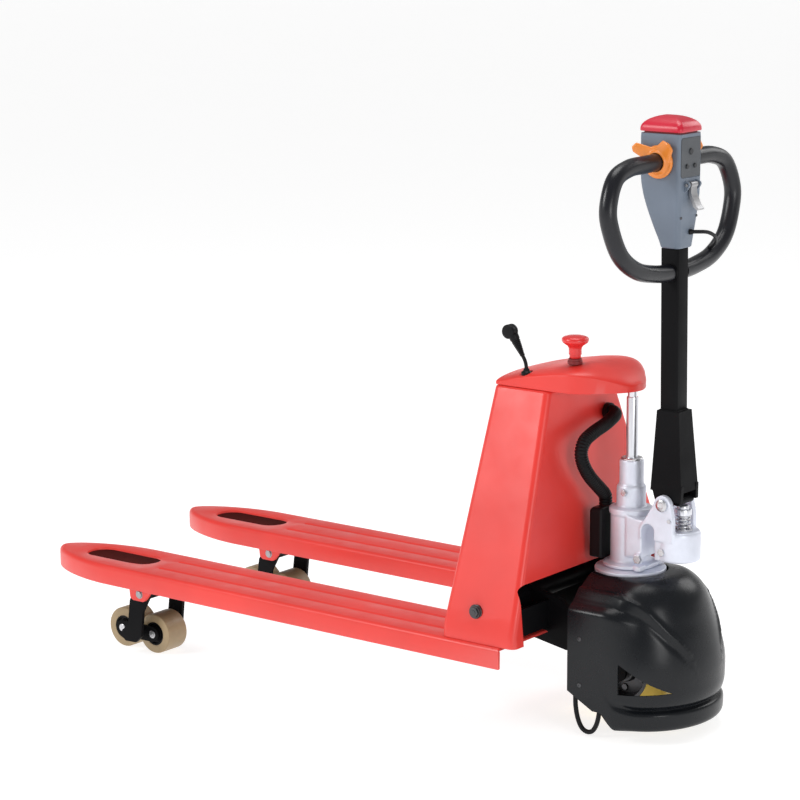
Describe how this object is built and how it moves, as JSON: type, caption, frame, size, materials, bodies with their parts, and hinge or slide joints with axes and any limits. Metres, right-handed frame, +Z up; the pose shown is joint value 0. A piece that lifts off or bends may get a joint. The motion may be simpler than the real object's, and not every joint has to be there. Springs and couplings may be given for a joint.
{
  "type": "electric pallet truck",
  "caption": "Walk-behind electric pallet truck: two forks on tandem rollers, tapered battery box, hydraulic lift, steered drive wheel under a cover, upright tiller with loop handle",
  "frame": {"origin": "on the floor under the middle of the truck, forks raised and tiller upright", "axes": "+X from the fork tips to the drive unit and operator, +Y to the operator's right as they face the forks, +Z up"},
  "size_m": [1.468, 0.5666, 1.1434],
  "materials": {
    "red_paint": "satin powder coat",
    "black_paint": "satin powder coat",
    "black_plastic": "fine grain",
    "grey_plastic": "fine grain",
    "orange_plastic": "gloss",
    "crimson_plastic": "gloss",
    "signal_red_plastic": "gloss",
    "silver_casting": "cast and painted silver",
    "chrome_rod": "polished",
    "steel": "zinc plated",
    "amber_polyurethane": "satin",
    "cable_rubber": "satin",
    "battery_case": "moulded",
    "circuit_board": "lacquered"
  },
  "bodies": {
    "base": {"base_bracket": "black_paint", "turntable_ring": "steel", "drive_cover": "black_plastic", "junction_block": "black_plastic", "loop_cable": "cable_rubber"},
    "chassis": {"left_fork": "red_paint", "right_fork": "red_paint", "left_arm_pin": "steel", "right_arm_pin": "steel", "heel_shaft": "steel", "heel_crossmember": "red_paint", "battery_box": "red_paint", "battery_pack": "battery_case", "motor_controller": "silver_casting", "built_in_charger": "grey_plastic", "top_cap": "red_paint", "piston_rod": "chrome_rod", "stop_collar": "signal_red_plastic", "charger_gland": "black_plastic", "charger_lead": "cable_rubber", "charger_plug": "black_plastic", "harness_conduit": "cable_rubber"},
    "stop_button": {"stop_button": "signal_red_plastic"},
    "rocker": {"rocker_frame": "black_paint"},
    "steer": {"wheel_yoke": "black_paint", "drive_motor": "black_paint", "pump_body": "silver_casting", "plunger_spring": "steel", "tiller_pin": "steel"},
    "drive_wheel": {"drive_hub": "steel", "drive_tyre": "amber_polyurethane"},
    "plunger": {"pump_plunger": "chrome_rod"},
    "tiller": {"tiller_bracket": "black_paint", "tiller_tube": "black_paint", "handle_loop": "black_plastic", "head_housing": "grey_plastic", "head_circuit_board": "circuit_board", "head_cable": "cable_rubber"},
    "throttle": {"left_throttle": "orange_plastic", "right_throttle": "orange_plastic"},
    "head_stop": {"head_stop_cap": "crimson_plastic"},
    "lever": {"lowering_lever": "chrome_rod"},
    "left_arm": {"left_roller_arm": "black_paint"},
    "left_tandem": {"left_bogie": "black_paint"},
    "left_rod": {"left_push_rod": "steel"},
    "left_front_roller": {"left_front_roller_hub": "black_plastic", "left_front_roller_tyre": "amber_polyurethane"},
    "left_rear_roller": {"left_rear_roller_hub": "black_plastic", "left_rear_roller_tyre": "amber_polyurethane"},
    "right_arm": {"right_roller_arm": "black_paint"},
    "right_tandem": {"right_bogie": "black_paint"},
    "right_rod": {"right_push_rod": "steel"},
    "right_front_roller": {"right_front_roller_hub": "black_plastic", "right_front_roller_tyre": "amber_polyurethane"},
    "right_rear_roller": {"right_rear_roller_hub": "black_plastic", "right_rear_roller_tyre": "amber_polyurethane"}
  },
  "joints": [
    {"name": "lift", "type": "slide", "parent": "base", "child": "chassis", "axis": [0, 0, 1], "range_m": [-0.096, 0], "deforming": ["harness_conduit"]},
    {"name": "rocker_swing", "type": "hinge", "parent": "chassis", "child": "rocker", "pos_m": [0.387, 0, 0.239], "axis": [0, 1, 0], "range_deg": [-34.3, 0.5]},
    {"name": "steer", "type": "hinge", "parent": "base", "child": "steer", "pos_m": [0.553, 0, 0.25], "axis": [0, 0, 1], "range_deg": [-60, 60]},
    {"name": "drive_wheel_spin", "type": "hinge", "parent": "steer", "child": "drive_wheel", "pos_m": [0.553, 0, 0.105], "axis": [0, 1, 0], "continuous": true},
    {"name": "tiller_tilt", "type": "hinge", "parent": "steer", "child": "tiller", "pos_m": [0.646, 0, 0.434], "axis": [0, 1, 0], "range_deg": [0, 75], "stiffness_Nm_per_rad": 36, "springref_deg": -22.92},
    {"name": "plunger_stroke", "type": "slide", "parent": "steer", "child": "plunger", "axis": [0, 0, 1], "range_m": [-0.0245, 0.0005], "deforming": ["plunger_spring"]},
    {"name": "throttle_twist", "type": "hinge", "parent": "tiller", "child": "throttle", "pos_m": [0.628, 0, 1.062], "axis": [0, 1, 0], "range_deg": [-30, 30], "stiffness_Nm_per_rad": 0.6},
    {"name": "head_stop_press", "type": "slide", "parent": "tiller", "child": "head_stop", "axis": [0, 0, 1], "range_m": [-0.003, 0], "stiffness_N_per_m": 2500},
    {"name": "lever_pull", "type": "hinge", "parent": "tiller", "child": "lever", "pos_m": [0.6745, 0, 1.021], "axis": [0, 1, 0], "range_deg": [-25, 0], "stiffness_Nm_per_rad": 0.4, "springref_deg": 5.73},
    {"name": "stop_button_press", "type": "slide", "parent": "chassis", "child": "stop_button", "axis": [0, 0, 1], "range_m": [-0.004, 0], "stiffness_N_per_m": 3000},
    {"name": "left_rod_push", "type": "slide", "parent": "chassis", "child": "left_rod", "axis": [1, 0, 0], "range_m": [-0.0005, 0.03473]},
    {"name": "left_arm_swing", "type": "hinge", "parent": "chassis", "child": "left_arm", "pos_m": [-0.444, -0.202, 0.137], "axis": [0, 1, 0], "range_deg": [-0.5, 63]},
    {"name": "left_tandem_level", "type": "hinge", "parent": "left_arm", "child": "left_tandem", "pos_m": [-0.494, -0.202, 0.041], "axis": [0, 1, 0], "range_deg": [-63, 0.5]},
    {"name": "left_front_roller_spin", "type": "hinge", "parent": "left_tandem", "child": "left_front_roller", "pos_m": [-0.536, -0.202, 0.041], "axis": [0, 1, 0], "continuous": true},
    {"name": "left_rear_roller_spin", "type": "hinge", "parent": "left_tandem", "child": "left_rear_roller", "pos_m": [-0.452, -0.202, 0.041], "axis": [0, 1, 0], "continuous": true},
    {"name": "right_rod_push", "type": "slide", "parent": "chassis", "child": "right_rod", "axis": [1, 0, 0], "range_m": [-0.0005, 0.03473]},
    {"name": "right_arm_swing", "type": "hinge", "parent": "chassis", "child": "right_arm", "pos_m": [-0.444, 0.202, 0.137], "axis": [0, 1, 0], "range_deg": [-0.5, 63]},
    {"name": "right_tandem_level", "type": "hinge", "parent": "right_arm", "child": "right_tandem", "pos_m": [-0.494, 0.202, 0.041], "axis": [0, 1, 0], "range_deg": [-63, 0.5]},
    {"name": "right_front_roller_spin", "type": "hinge", "parent": "right_tandem", "child": "right_front_roller", "pos_m": [-0.536, 0.202, 0.041], "axis": [0, 1, 0], "continuous": true},
    {"name": "right_rear_roller_spin", "type": "hinge", "parent": "right_tandem", "child": "right_rear_roller", "pos_m": [-0.452, 0.202, 0.041], "axis": [0, 1, 0], "continuous": true}
  ],
  "couplings": [
    {"joint": "rocker_swing", "follows": "lift", "rad_per_m": 6.1445},
    {"joint": "plunger_stroke", "follows": "tiller_tilt", "m_per_rad": -0.018182},
    {"joint": "left_rod_push", "follows": "lift", "ratio": -0.35659},
    {"joint": "left_arm_swing", "follows": "lift", "rad_per_m": -11.361},
    {"joint": "left_tandem_level", "follows": "lift", "rad_per_m": 11.361},
    {"joint": "right_rod_push", "follows": "lift", "ratio": -0.35659},
    {"joint": "right_arm_swing", "follows": "lift", "rad_per_m": -11.361},
    {"joint": "right_tandem_level", "follows": "lift", "rad_per_m": 11.361}
  ]
}
